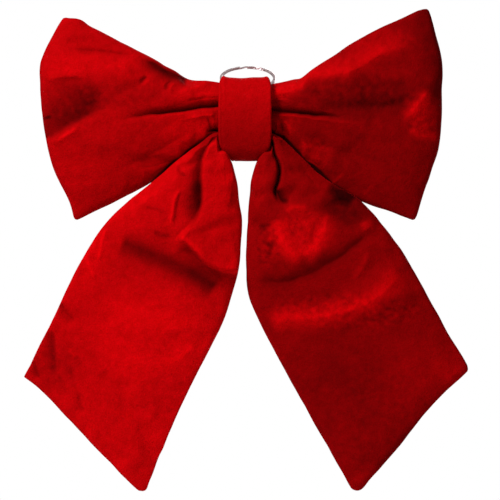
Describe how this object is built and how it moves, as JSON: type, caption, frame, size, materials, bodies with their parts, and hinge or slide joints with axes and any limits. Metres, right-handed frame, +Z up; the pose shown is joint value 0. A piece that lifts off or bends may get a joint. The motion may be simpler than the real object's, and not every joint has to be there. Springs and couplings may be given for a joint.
{
  "type": "gift bow",
  "caption": "Padded velvet gift bow with gathered loops, a wrapped knot, slanted hanging tails and a split ring to hang or tie it by.",
  "frame": {"origin": "middle of the flat back of the knot, where the bow lies against a door, a wreath or a gift", "axes": "+Y out of the back of the bow, -Y towards the viewer; +Z up as the bow hangs; +X to the viewer's right"},
  "size_m": [0.2497, 0.0528, 0.2708],
  "materials": {
    "velvet": "short-pile velvet with a soft sheen",
    "folded_velvet": "the same velvet, gathered into pleats",
    "wadding": "white fibre wadding",
    "thread": "matt sewing thread",
    "steel": "bright plated spring steel"
  },
  "bodies": {
    "bow": {"loop_front_panel": "velvet", "loop_back_panel": "velvet", "loop_padding": "wadding", "gather_thread": "thread", "left_tail_gather": "folded_velvet", "right_tail_gather": "folded_velvet", "knot_band": "velvet", "knot_padding": "wadding", "knot_core": "folded_velvet", "knot_stitching": "thread"},
    "left_tail": {"left_tail_front_panel": "velvet", "left_tail_back_panel": "velvet", "left_tail_padding": "wadding"},
    "right_tail": {"right_tail_front_panel": "velvet", "right_tail_back_panel": "velvet", "right_tail_padding": "wadding"},
    "ring": {"split_ring": "steel"}
  },
  "joints": [
    {"name": "left_tail_lift", "type": "hinge", "parent": "bow", "child": "left_tail", "pos_m": [-0.0273, -0.029, -0.031], "axis": [-1, 0, 0], "range_deg": [0, 60]},
    {"name": "right_tail_lift", "type": "hinge", "parent": "bow", "child": "right_tail", "pos_m": [0.02305, -0.029, -0.031], "axis": [-1, 0, 0], "range_deg": [0, 60]},
    {"name": "ring_swing", "type": "hinge", "parent": "bow", "child": "ring", "pos_m": [0, -0.0042, 0.0213], "axis": [1, 0, 0], "range_deg": [-4, 64]}
  ]
}
